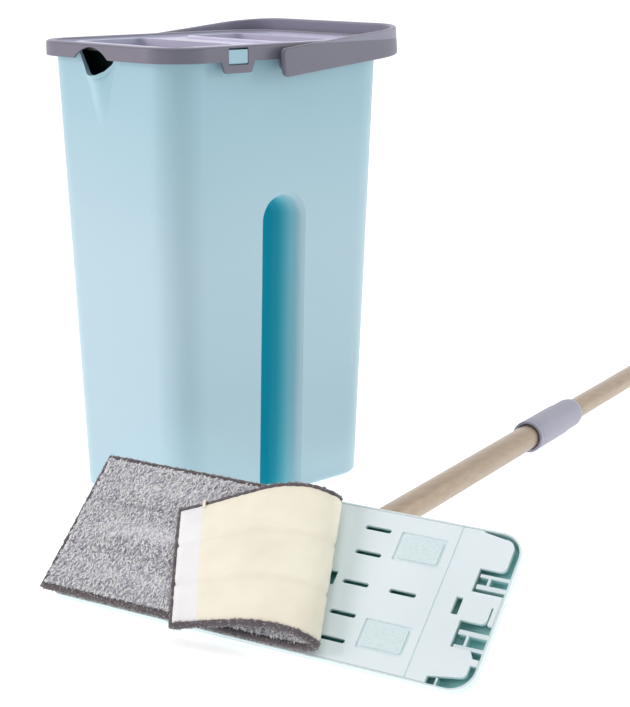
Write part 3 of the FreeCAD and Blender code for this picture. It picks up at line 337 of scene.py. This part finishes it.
def rubber_material():
    """Soft grey rubber with a dusty bloom."""
    shader = Shader("soft_rubber", 0.62, Sheen_Weight=0.2)
    shader.colour(shader.ramp(shader.noise(40.0), [(0.3, (0.05, 0.05, 0.055)), (0.7, (0.09, 0.09, 0.10))]))
    fine = shader.noise(1200.0)
    shader.rough(shader.remap(fine, 0.3, 0.7, 0.5, 0.75))
    shader.bump(fine, 0.4, 0.00008)
    return shader.material


def hook_material():
    """Translucent hook tape: a tight grid of tiny hooks."""
    shader = Shader("hook_tape", 0.5, Sheen_Weight=0.3)
    cells = shader.node("ShaderNodeTexVoronoi")
    cells.inputs["Scale"].default_value = 900.0
    shader.link(shader.place, cells.inputs["Vector"])
    hooks = cells.outputs["Distance"]
    shader.colour(shader.ramp(hooks, [(0.1, (0.80, 0.93, 0.95)), (0.7, (0.68, 0.84, 0.86))]))
    shader.rough(shader.remap(hooks, 0.0, 0.8, 0.4, 0.65))
    shader.bump(hooks, 0.4, 0.0001)
    return shader.material


def cloth_material(name, colour, spread=0.06, weave=1500.0, sheen=0.25):
    """Plain woven cloth: two crossed sets of threads and a soft sheen."""
    shader = Shader(name, 0.85, Sheen_Weight=sheen, Specular_IOR_Level=0.2)
    dots = []
    for axis in (ALONG, ACROSS):
        dot = shader.node("ShaderNodeVectorMath", operation="DOT_PRODUCT")
        shader.link(shader.place, dot.inputs[0])
        dot.inputs[1].default_value = axis
        wave = shader.math("SINE", shader.math("MULTIPLY", dot.outputs["Value"], weave * 2 * math.pi))
        dots.append(wave)
    threads = shader.math("MULTIPLY", dots[0], dots[1])
    darker, lighter = shades(colour, spread)
    soft = shader.noise(25.0, 3.0)
    shader.colour(shader.ramp(soft, [(0.3, darker), (0.7, lighter)]))
    shader.rough(shader.remap(shader.noise(400.0), 0.3, 0.7, 0.75, 0.95))
    shader.bump(threads, 0.35, 0.0001)
    return shader.material


def yarn_material(name, colour, spread):
    """Microfibre yarn: fuzzy, with fine strands of different tone."""
    shader = Shader(name, 0.9, Sheen_Weight=0.5, Specular_IOR_Level=0.15)
    darker, lighter = shades(colour, spread)
    strands = shader.noise(1400.0, 4.0, 0.7)
    shader.colour(shader.ramp(strands, [(0.3, darker), (0.7, lighter)]))
    shader.rough(shader.remap(strands, 0.3, 0.7, 0.8, 1.0))
    shader.bump(strands, 0.8, 0.0004)
    return shader.material


def ground_material():
    """The pile's mottled ground, between the tufts."""
    shader = Shader("pile_ground", 0.95, Sheen_Weight=0.4, Specular_IOR_Level=0.1)
    mottle = shader.noise(420.0, 4.0, 0.75)
    shader.colour(shader.ramp(mottle, [(0.38, (0.50, 0.50, 0.58)), (0.6, (0.93, 0.94, 0.98))]))
    shader.rough(shader.remap(mottle, 0.3, 0.7, 0.85, 1.0))
    shader.bump(mottle, 1.0, 0.0012)
    return shader.material


# ---------------------------------------------------------------- the carried-over CAD pieces
rim_grey = rim_material()
deck_lavender = plastic("chute_plastic", DECK_LAVENDER, 0.4, grain=1100.0).material
lavender = plastic("collar_plastic", LAVENDER, 0.45, grain=1000.0).material
joint_grey = plastic("joint_plastic", (0.21, 0.21, 0.25), 0.45).material
roller_white = plastic("roller_acetal", (0.78, 0.78, 0.78), 0.3).material
steel = steel_material()
champagne = pole_material()
rubber = rubber_material()
PAINT = {
    "bucket_tub": tub_material(), "top_frame": rim_grey, "wash_chute": chute_material(), "wash_comb": rubber,
    "wringer_housing": deck_lavender, "guide_roller": roller_white, "roller_axle": steel,
    "scraper_lip": rubber,
    "bail_handle": rim_grey, "head_shell": head_material("shell_mint", SHELL_MINT),
    "head_panel": head_material("panel_mint", MINT), "hook_patches": hook_material(),
    "swivel_turret": joint_grey, "tilt_pin": steel, "turret_retainer": steel, "retainer_screw": steel,
    "pole_socket": joint_grey, "socket_rivet": steel, "pole_lower_tube": champagne,
    "tube_bushing": joint_grey, "expander_plug": joint_grey, "pole_upper_tube": champagne,
    "lock_collar": lavender, "hand_grip": lavender, "hang_cap": lavender,
}
for node, material in PAINT.items():
    data = frame["nodes"][node].data
    data.materials.clear()
    data.materials.append(material)


# ---------------------------------------------------------------- the pad
PAD_STEPS = 150                # quads along the pad
PAD_ROWS = 36                  # quads across it, in three sewn channels
PAD_HALF_THICK = 2.3
CAP = 2.4                      # how far the swelling may move a point
# Middle surface of the pad along its back and front edges, as (along, across, out) in millimetres:
# flat on the head, round the fold, and back over itself to the free end.
BACK_EDGE = [(-166, 55, 3.6), (-110, 55, 3.6), (-50, 55, 3.6), (-6, 55, 3.7), (22, 54, 4.8),
             (33, 53.5, 10), (28, 53.5, 16.5), (12, 54, 19.5), (-10, 49.5, 20.2), (-34, 39, 18.6),
             (-58, 28, 15.8), (-80, 19, 13.2)]
FRONT_EDGE = [(-166, -55, 3.6), (-100, -55, 3.6), (-40, -55, 3.6), (18, -55, 3.6), (50, -54, 4.2),
              (61, -52.5, 9), (56, -51.5, 15.0), (42, -50.5, 18.2), (19, -52, 19.6), (-4, -57, 19.4),
              (-26, -62.5, 18.0), (-42, -67, 17.0)]


def head_point(along, across, out):
    """A point given in the head's own millimetres."""
    return HEAD_CENTRE + (ALONG * along + ACROSS * across + OUT * out) * MM


def spline(points, count):
    """count + 1 points spaced evenly along a smooth curve through the given points."""
    knots = [Vector(point) for point in points]
    knots = [knots[0] * 2 - knots[1]] + knots + [knots[-1] * 2 - knots[-2]]
    fine = []
    for i in range(1, len(knots) - 2):
        p0, p1, p2, p3 = knots[i - 1:i + 3]
        for k in range(24):
            t = k / 24
            fine.append(0.5 * ((2 * p1) + (p2 - p0) * t + (2 * p0 - 5 * p1 + 4 * p2 - p3) * t * t
                               + (3 * p1 - p0 - 3 * p2 + p3) * t ** 3))
    fine.append(knots[-2])
    length = [0.0]
    for a, b in zip(fine, fine[1:]):
        length.append(length[-1] + (b - a).length)
    placed, j = [], 0
    for i in range(count + 1):
        target = length[-1] * i / count
        while j < len(fine) - 2 and length[j + 1] < target:
            j += 1
        span = length[j + 1] - length[j] or 1.0
        placed.append(fine[j].lerp(fine[j + 1], (target - length[j]) / span))
    return placed


def pad_row(row):
    """Points along one row of the pad's middle surface, with the free flap a little crowned."""
    across = row / PAD_ROWS
    knots = [Vector(front).lerp(Vector(back), across) for front, back in zip(FRONT_EDGE, BACK_EDGE)]
    points = spline(knots, PAD_STEPS)
    for step, point in enumerate(points):
        flap = max(0.0, min(1.0, (step / PAD_STEPS - 0.68) / 0.2))
        point.z += 1.2 * flap * flap * (3 - 2 * flap) * math.sin(math.pi * across)
    return [head_point(*point) for point in points]


ROWS = [pad_row(row) for row in range(PAD_ROWS + 1)]
MIDDLE = [[row[step] for row in ROWS] for step in range(PAD_STEPS + 1)]


def pad_normal(step, row):
    """Unit normal of the middle surface, on the pile's side."""
    before, after = max(step - 1, 0), min(step + 1, PAD_STEPS)
    left, right = max(row - 1, 0), min(row + 1, PAD_ROWS)
    run = MIDDLE[after][row] - MIDDLE[before][row]
    rise = MIDDLE[step][right] - MIDDLE[step][left]
    return run.cross(rise).normalized()


NORMAL = [[pad_normal(i, j) for j in range(PAD_ROWS + 1)] for i in range(PAD_STEPS + 1)]
STITCH_ROWS = (PAD_ROWS // 3, 2 * PAD_ROWS // 3)
STITCH_THIN = 0.45             # share of the thickness left at a stitch line
EDGE_TAPER = (0.35, 0.75, 1.0) # and at the edge, one quad in, and further in
BAND_STEPS = 9                 # the white band at the free end
SWELL_FRAMES = 12
SWELL_PRESSURE = 3.0
FRONT_HAIRS, OTHER_HAIRS = 12, 5   # fringe hairs for each point of the binding
DARK_HAIRS = 0.58              # their share
WHITE_YARNS = 0.74             # share of the pile's yarns
YARN_SLANT_DEG, YARN_SPREAD_DEG = 62, 30


def new_object(name, verts, faces, materials, indices=None, body="head", smooth=True):
    """A mesh object with its materials, riding on a body."""
    data = bpy.data.meshes.new(name)
    data.from_pydata([tuple(v) for v in verts], [], faces)
    for material in materials:
        data.materials.append(material)
    if indices:
        data.polygons.foreach_set("material_index", indices)
    data.polygons.foreach_set("use_smooth", [smooth] * len(data.polygons))
    made = bpy.data.objects.new(name, data)
    bpy.context.scene.collection.objects.link(made)
    data.update()
    if body:
        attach(made, body)
    return made


def pad_slab():
    """Closed slab between the pile side and the backing side of the pad."""
    verts, faces, indices = [], [], []
    width = PAD_ROWS + 1
    for side in (1, -1):
        for i in range(PAD_STEPS + 1):
            for j in range(width):
                thick = PAD_HALF_THICK
                if j in STITCH_ROWS:
                    thick *= STITCH_THIN
                edge = min(i, PAD_STEPS - i, j, PAD_ROWS - j)
                thick *= EDGE_TAPER[min(edge, 2)]
                verts.append(MIDDLE[i][j] + NORMAL[i][j] * side * thick * MM)
    base = (PAD_STEPS + 1) * width
    for i in range(PAD_STEPS):
        for j in range(PAD_ROWS):
            a, b = i * width + j, (i + 1) * width + j
            faces.append((a, b, b + 1, a + 1))
            indices.append(0)
            faces.append((base + a, base + a + 1, base + b + 1, base + b))
            indices.append(2 if i >= PAD_STEPS - BAND_STEPS else 1)
    for i in range(PAD_STEPS):
        for j, flip in ((0, False), (PAD_ROWS, True)):
            a, b = i * width + j, (i + 1) * width + j
            quad = (a, base + a, base + b, b)
            faces.append(quad[::-1] if flip else quad)
            indices.append(0)
    for j in range(PAD_ROWS):
        for i, flip in ((0, True), (PAD_STEPS, False)):
            a, b = i * width + j, i * width + j + 1
            quad = (a, base + a, base + b, b)
            faces.append(quad[::-1] if flip else quad)
            indices.append(0)
    return verts, faces, indices


def swell(piece, rest):
    """Cloth simulation that puffs the sewn channels, with the edges and the stitch lines held."""
    group = piece.vertex_groups.new(name="held")
    width = PAD_ROWS + 1
    layer = (PAD_STEPS + 1) * width
    held = []
    for index in range(len(rest)):
        i, j = divmod(index % layer, width)
        if min(i, PAD_STEPS - i, j, PAD_ROWS - j) == 0 or j in STITCH_ROWS:
            held.append(index)
    group.add(held, 1.0, "ADD")
    cloth = piece.modifiers.new("Cloth", "CLOTH")
    cloth.settings.quality = 4
    cloth.settings.mass = 0.2
    cloth.settings.tension_stiffness = 25
    cloth.settings.bending_stiffness = 1.0
    cloth.settings.use_pressure = True
    cloth.settings.uniform_pressure_force = SWELL_PRESSURE
    cloth.settings.effector_weights.gravity = 0.0
    cloth.settings.vertex_group_mass = "held"
    cloth.collision_settings.use_collision = False
    for number in range(1, SWELL_FRAMES + 1):
        bpy.context.scene.frame_set(number)
    graph = bpy.context.evaluated_depsgraph_get()
    swollen = [v.co.copy() for v in piece.evaluated_get(graph).data.vertices]
    piece.modifiers.remove(cloth)
    bpy.context.scene.frame_set(1)
    for vertex, start, end in zip(piece.data.vertices, rest, swollen):
        move = end - start
        if move.length > CAP * MM:
            move *= CAP * MM / move.length
        vertex.co = start + move
    piece.data.update()


def make_pad():
    """The pad's body: mottled pile ground on one side, cream backing and white band on the other."""
    verts, faces, indices = pad_slab()
    backing = cloth_material("cream_backing", CREAM)
    band = cloth_material("white_band", BAND_WHITE)
    pad = new_object("pad_body", verts, faces, [ground_material(), backing, band], indices)
    swell(pad, verts)
    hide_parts("mop_pad")


def tube_mesh(path, radii, sides, closed=False):
    """Vertices and faces of a tube along a path."""
    verts, faces = [], []
    count = len(path)
    up = None
    for i, point in enumerate(path):
        if closed:
            ahead = path[(i + 1) % count] - path[i - 1]
        else:
            ahead = path[min(i + 1, count - 1)] - path[max(i - 1, 0)]
        ahead.normalize()
        if up is None:
            up = ahead.orthogonal().normalized()
        up = (up - ahead * up.dot(ahead)).normalized()
        side = ahead.cross(up)
        for k in range(sides):
            turn = 2 * math.pi * k / sides
            verts.append(point + (up * math.cos(turn) + side * math.sin(turn)) * radii[i])
    rings = count if closed else count - 1
    for i in range(rings):
        a, b = i * sides, ((i + 1) % count) * sides
        for k in range(sides):
            n = (k + 1) % sides
            faces.append((a + k, a + n, b + n, b + k))
    if not closed:
        faces.append(tuple(range(sides))[::-1])
        faces.append(tuple(range((count - 1) * sides, count * sides)))
    return verts, faces


def perimeter():
    """The pad's edge, once round."""
    path = [MIDDLE[i][0] for i in range(PAD_STEPS + 1)]
    path += [MIDDLE[PAD_STEPS][j] for j in range(1, PAD_ROWS + 1)]
    path += [MIDDLE[i][PAD_ROWS] for i in range(PAD_STEPS - 1, -1, -1)]
    path += [MIDDLE[0][j] for j in range(PAD_ROWS - 1, 0, -1)]
    return path


def binding_radius(count):
    """Radii of the binding round the perimeter: fuller along the front edge, lumpy with its stitches."""
    rng = random.Random(11)
    radii = []
    for i in range(count):
        full = 2.5 if i < PAD_STEPS else 1.9
        radii.append((full + 0.2 * math.sin(i * 2.1) + rng.uniform(-0.2, 0.2)) * MM)
    return radii


def make_binding():
    """The dark overlocked edge of the pad."""
    path = perimeter()
    verts, faces = tube_mesh(path, binding_radius(len(path)), 10, closed=True)
    yarn = yarn_material("binding_yarn", BINDING, 0.45)
    new_object("pad_binding", verts, faces, [yarn])


def make_fringe():
    """Fuzz on the binding: short dark and pale hairs that stand out of its stitches."""
    rng = random.Random(23)
    path = perimeter()
    radii = binding_radius(len(path))
    count = len(path)
    verts, faces, indices = [], [], []
    for i in range(count):
        ahead = (path[(i + 1) % count] - path[i - 1]).normalized()
        up = (OUT - ahead * OUT.dot(ahead)).normalized()
        side = ahead.cross(up)
        for _ in range(FRONT_HAIRS if i < PAD_STEPS else OTHER_HAIRS):
            turn = rng.uniform(0, 2 * math.pi)
            away = up * math.cos(turn) + side * math.sin(turn)
            root = path[i] + ahead * rng.uniform(-1.2, 1.2) * MM + away * radii[i] * 0.95
            lie = (away + ahead * rng.uniform(-0.9, 0.9)).normalized()
            normal = ahead.cross(lie).normalized()
            made = tuft(verts, faces, root, lie, normal, rng.uniform(1.5, 3.0) * MM, 0.75 * MM)
            indices += [0 if rng.random() < DARK_HAIRS else 1] * made
    hairs = [yarn_material("fringe_dark", BINDING, 0.45), yarn_material("fringe_pale", FRINGE_PALE, 0.2)]
    new_object("pad_fringe", verts, faces, hairs, indices)


def make_tab():
    """The cream end of the tape, folded over the back binding beside the white band."""
    step = PAD_STEPS - BAND_STEPS
    verts, faces = [], []
    for at in (step - 1, step):
        along = MIDDLE[at][PAD_ROWS]
        inward = (MIDDLE[at][PAD_ROWS - 2] - along).normalized()
        normal = -NORMAL[at][PAD_ROWS]
        for reach, rise in ((4.0, 2.5), (0.5, 3.0), (-2.6, 1.6), (-2.9, -0.6)):
            for skin in (0.0, 0.5):
                verts.append(along + inward * (reach - skin * 0.5) * MM + normal * (rise + skin) * MM)
    for k in range(3):
        for skin, flip in ((0, False), (1, True)):
            quad = (2 * k + skin, 2 * k + 2 + skin, 2 * k + 10 + skin, 2 * k + 8 + skin)
            faces.append(quad[::-1] if flip else quad)
        for base, flip in ((0, True), (8, False)):
            quad = (base + 2 * k, base + 2 * k + 2, base + 2 * k + 3, base + 2 * k + 1)
            faces.append(quad[::-1] if flip else quad)
    faces += [(0, 1, 9, 8), (6, 14, 15, 7)]
    tape = cloth_material("tab_tape", CREAM)
    new_object("pad_tab", verts, faces, [tape], smooth=False)


def tuft(verts, faces, root, direction, normal, length, width):
    """One short loop of yarn: a three-sided spindle that rises from its root and lies over."""
    side = direction.cross(normal).normalized()
    base = len(verts)
    for run, rise, fat in ((-0.5, 0.2, 0.35), (0.05, 0.8, 0.5)):
        centre = root + direction * run * length + normal * rise * width
        for k in range(3):
            turn = 2 * math.pi * k / 3 + 0.5
            spread = side * math.cos(turn) + normal * math.sin(turn)
            verts.append(centre + spread * width * fat)
    verts.append(root + direction * 0.5 * length + normal * 0.5 * width)
    for k in range(3):
        n = (k + 1) % 3
        faces.append((base + k, base + n, base + 3 + n, base + 3 + k))
        faces.append((base + 3 + k, base + 3 + n, base + 6))
    faces.append((base + 2, base + 1, base))
    return 7


def make_pile(count=16500):
    """The chenille pile: thousands of short slanted yarns on the pad's pile side."""
    rng = random.Random(7)
    verts, faces, indices = [], [], []
    for _ in range(count):
        s, t = rng.uniform(1.0, PAD_STEPS - 1.0), rng.uniform(0.7, PAD_ROWS - 0.7)
        i, j = min(int(s), PAD_STEPS - 1), min(int(t), PAD_ROWS - 1)
        normal = NORMAL[i][j]
        root = MIDDLE[i][j].lerp(MIDDLE[i + 1][j], s - i) + (MIDDLE[i][j + 1] - MIDDLE[i][j]) * (t - j)
        near = min(abs(t - row) for row in STITCH_ROWS)
        sunk = 0.55 if near < 0.4 else 1.0
        root = root + normal * (PAD_HALF_THICK * sunk + 0.45) * MM
        run = (MIDDLE[i + 1][j] - MIDDLE[i][j]).normalized()
        rise = (MIDDLE[i][j + 1] - MIDDLE[i][j]).normalized()
        turn = rng.gauss(math.radians(YARN_SLANT_DEG), math.radians(YARN_SPREAD_DEG))
        direction = (run * math.cos(turn) + rise * math.sin(turn)).normalized()
        length, width = rng.uniform(2.2, 4.4) * MM, rng.uniform(0.8, 1.35) * MM
        made = tuft(verts, faces, root, direction, normal, length, width)
        shade = 0 if rng.random() < WHITE_YARNS else 1
        indices += [shade] * made
    yarns = [yarn_material("yarn_white", YARN_WHITE, 0.12), yarn_material("yarn_grey", YARN_GREY, 0.35)]
    new_object("pad_pile", verts, faces, yarns, indices)


make_pad()
make_binding()
make_fringe()
make_tab()
make_pile()


# ---------------------------------------------------------------- studio
def stage_plane():
    """A pale floor that curves up into the backdrop far behind."""
    verts, faces = [], []
    profile = [(-6.0, 0.0), (3.0, 0.0)]
    profile += [(3.0 + 1.5 * math.sin(math.radians(a)), 1.5 - 1.5 * math.cos(math.radians(a)))
                for a in range(10, 91, 10)]
    profile.append((4.5, 7.0))
    ahead, aside = Vector((0.68, 0.73, 0)).normalized(), Vector((0.73, -0.68, 0)).normalized()
    for run, height in profile:
        for side in (-9.0, 9.0):
            verts.append(ahead * run + aside * side + Vector((0, 0, height - 0.0002)))
    for i in range(len(profile) - 1):
        faces.append((2 * i, 2 * i + 1, 2 * i + 3, 2 * i + 2))
    shader = Shader("studio_paper", 0.9, Specular_IOR_Level=0.1, Emission_Color=(1, 1, 1, 1),
                    Emission_Strength=0.50)
    shader.colour(shader.ramp(shader.noise(3.0), [(0.0, (0.93, 0.93, 0.93)), (1.0, (0.95, 0.95, 0.95))]))
    new_object("studio_floor", verts, faces, [shader.material], body=None)


def area_light(name, place, target, size, power, colour=(1, 1, 1)):
    """A soft rectangular lamp aimed at a point."""
    lamp = bpy.data.lights.new(name, "AREA")
    lamp.shape = "RECTANGLE"
    lamp.size, lamp.size_y = size
    lamp.energy = power
    lamp.color = colour
    aimed(name, lamp, place, target)


def aimed(name, lamp, place, target):
    """A lamp in its place, turned to a point."""
    made = bpy.data.objects.new(name, lamp)
    made.location = place
    made.rotation_mode = "QUATERNION"
    made.rotation_quaternion = (Vector(target) - Vector(place)).to_track_quat("-Z", "Y")
    bpy.context.scene.collection.objects.link(made)


def spot_light(name, place, target, cone_deg, power):
    """A soft spot that only reaches the mop's head, where the flap would shade it."""
    lamp = bpy.data.lights.new(name, "SPOT")
    lamp.spot_size = math.radians(cone_deg)
    lamp.spot_blend = 0.8
    lamp.shadow_soft_size = 0.25
    lamp.energy = power
    aimed(name, lamp, place, target)


def camera(place, heading, pitch, lens):
    """The camera, by its compass heading from +Y towards +X and its pitch, in degrees."""
    data = bpy.data.cameras.new("camera")
    data.lens = lens
    data.sensor_width = 36.0
    data.clip_end = 100.0
    made = bpy.data.objects.new("camera", data)
    a, e = math.radians(heading), math.radians(pitch)
    look = Vector((math.sin(a) * math.cos(e), math.cos(a) * math.cos(e), math.sin(e)))
    made.location = place
    made.rotation_mode = "QUATERNION"
    made.rotation_quaternion = look.to_track_quat("-Z", "Y")
    bpy.context.scene.collection.objects.link(made)
    bpy.context.scene.camera = made


CAMERA_PLACE = (-0.8906, -1.0764, 0.4576)
CAMERA_HEADING_DEG = 42.906
CAMERA_PITCH_DEG = -13.991
CAMERA_LENS_MM = 84.28
WORLD_STRENGTH = 0.33

stage_plane()
area_light("key_left", (-2.3, 1.4, 1.1), (-0.1, 0, 0.15), (1.1, 1.5), 34, (1.0, 0.87, 0.885))
area_light("fill_right", (2.3, -1.9, 1.1), (0, -0.1, 0.15), (1.4, 1.4), 27)
area_light("top_soft", (-0.2, -0.3, 2.4), (0, 0, 0), (1.8, 1.8), 18)
spot_light("mop_fill", (-0.75, -1.5, 1.35), (-0.12, -0.34, 0.05), 20, 7.0)
camera(CAMERA_PLACE, CAMERA_HEADING_DEG, CAMERA_PITCH_DEG, CAMERA_LENS_MM)
world = bpy.data.worlds.new("studio")
world.use_nodes = True
world.node_tree.nodes["Background"].inputs["Color"].default_value = (1, 1, 1, 1)
world.node_tree.nodes["Background"].inputs["Strength"].default_value = WORLD_STRENGTH
bpy.context.scene.world = world
bpy.context.scene.view_settings.view_transform = "Standard"
